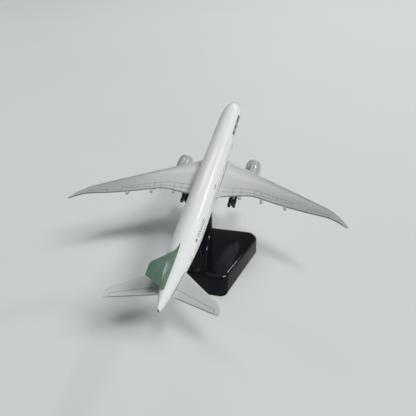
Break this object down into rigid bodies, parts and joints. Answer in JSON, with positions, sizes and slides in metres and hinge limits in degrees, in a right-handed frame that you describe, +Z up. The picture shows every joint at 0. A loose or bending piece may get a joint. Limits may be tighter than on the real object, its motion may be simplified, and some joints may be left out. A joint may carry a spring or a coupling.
{
  "type": "desktop airliner model",
  "caption": "Die-cast twin-engined airliner desk model with rolling landing gear, held nose-up by a blade stem on a weighted tapered stand.",
  "frame": {"origin": "centre of the stand's underside, on the surface it rests on", "axes": "+Z up, +Y towards the nose and the wide end of the stand, +X to the aeroplane's right; the symmetry plane is X = 0"},
  "size_m": [0.175, 0.2015, 0.0904],
  "materials": {
    "white_enamel": "sprayed gloss white enamel over zinc die casting",
    "grey_enamel": "sprayed satin light grey enamel with fine printed panel lines",
    "green_enamel": "sprayed green enamel with a printed pale swoosh",
    "gear_grey": "satin grey paint",
    "engine_metal": "dull silver paint over zinc",
    "bright_steel": "bright zinc-plated steel",
    "tyre_black": "matt black rubber tyre",
    "black_gloss": "polished black moulded plastic",
    "pad_rubber": "matt black soft pad"
  },
  "bodies": {
    "stand_base": {"ballast_plate": "bright_steel", "ballast_screw_front": "bright_steel", "ballast_screw_left": "bright_steel", "ballast_screw_right": "bright_steel", "base_pad": "pad_rubber", "base_shell": "black_gloss"},
    "stem": {"stand_stem": "black_gloss"},
    "aircraft": {"belly_fairing": "grey_enamel", "engine_core_left": "engine_metal", "engine_core_right": "engine_metal", "engine_cowl_left": "grey_enamel", "engine_cowl_right": "grey_enamel", "engine_fan_left": "engine_metal", "engine_fan_right": "engine_metal", "fairing_screw_front": "bright_steel", "fairing_screw_rear": "bright_steel", "fuselage_shell": "white_enamel", "main_gear_leg_left": "gear_grey", "main_gear_leg_right": "gear_grey", "nose_gear_leg": "gear_grey", "stabiliser_left": "grey_enamel", "stabiliser_right": "grey_enamel", "tail_fin": "green_enamel", "wing_left": "grey_enamel", "wing_right": "grey_enamel"},
    "main_left_front_wheelset": {"main_left_front_axle": "bright_steel", "main_left_front_wheel_inner": "tyre_black", "main_left_front_wheel_outer": "tyre_black"},
    "main_left_middle_wheelset": {"main_left_middle_axle": "bright_steel", "main_left_middle_wheel_inner": "tyre_black", "main_left_middle_wheel_outer": "tyre_black"},
    "main_left_rear_wheelset": {"main_left_rear_axle": "bright_steel", "main_left_rear_wheel_inner": "tyre_black", "main_left_rear_wheel_outer": "tyre_black"},
    "main_right_front_wheelset": {"main_right_front_axle": "bright_steel", "main_right_front_wheel_inner": "tyre_black", "main_right_front_wheel_outer": "tyre_black"},
    "main_right_middle_wheelset": {"main_right_middle_axle": "bright_steel", "main_right_middle_wheel_inner": "tyre_black", "main_right_middle_wheel_outer": "tyre_black"},
    "main_right_rear_wheelset": {"main_right_rear_axle": "bright_steel", "main_right_rear_wheel_inner": "tyre_black", "main_right_rear_wheel_outer": "tyre_black"},
    "nose_wheelset": {"nose_axle": "bright_steel", "nose_wheel_left": "tyre_black", "nose_wheel_right": "tyre_black"}
  },
  "joints": [
    {"name": "stem_lift", "type": "slide", "parent": "stand_base", "child": "stem", "axis": [0, 0, 1], "range_m": [0, 0.012]},
    {"name": "aircraft_lift", "type": "slide", "parent": "stem", "child": "aircraft", "axis": [0, -0.1736, 0.9848], "range_m": [0, 0.015]},
    {"name": "main_left_front_spin", "type": "hinge", "parent": "aircraft", "child": "main_left_front_wheelset", "pos_m": [-0.0161, 0.00983, 0.05647], "axis": [1, 0, 0], "continuous": true},
    {"name": "main_left_middle_spin", "type": "hinge", "parent": "aircraft", "child": "main_left_middle_wheelset", "pos_m": [-0.0161, 0.00594, 0.05578], "axis": [1, 0, 0], "continuous": true},
    {"name": "main_left_rear_spin", "type": "hinge", "parent": "aircraft", "child": "main_left_rear_wheelset", "pos_m": [-0.0161, 0.00205, 0.05509], "axis": [1, 0, 0], "continuous": true},
    {"name": "main_right_front_spin", "type": "hinge", "parent": "aircraft", "child": "main_right_front_wheelset", "pos_m": [0.0161, 0.00983, 0.05647], "axis": [1, 0, 0], "continuous": true},
    {"name": "main_right_middle_spin", "type": "hinge", "parent": "aircraft", "child": "main_right_middle_wheelset", "pos_m": [0.0161, 0.00594, 0.05578], "axis": [1, 0, 0], "continuous": true},
    {"name": "main_right_rear_spin", "type": "hinge", "parent": "aircraft", "child": "main_right_rear_wheelset", "pos_m": [0.0161, 0.00205, 0.05509], "axis": [1, 0, 0], "continuous": true},
    {"name": "nose_spin", "type": "hinge", "parent": "aircraft", "child": "nose_wheelset", "pos_m": [0, 0.08883, 0.07004], "axis": [1, 0, 0], "continuous": true}
  ]
}
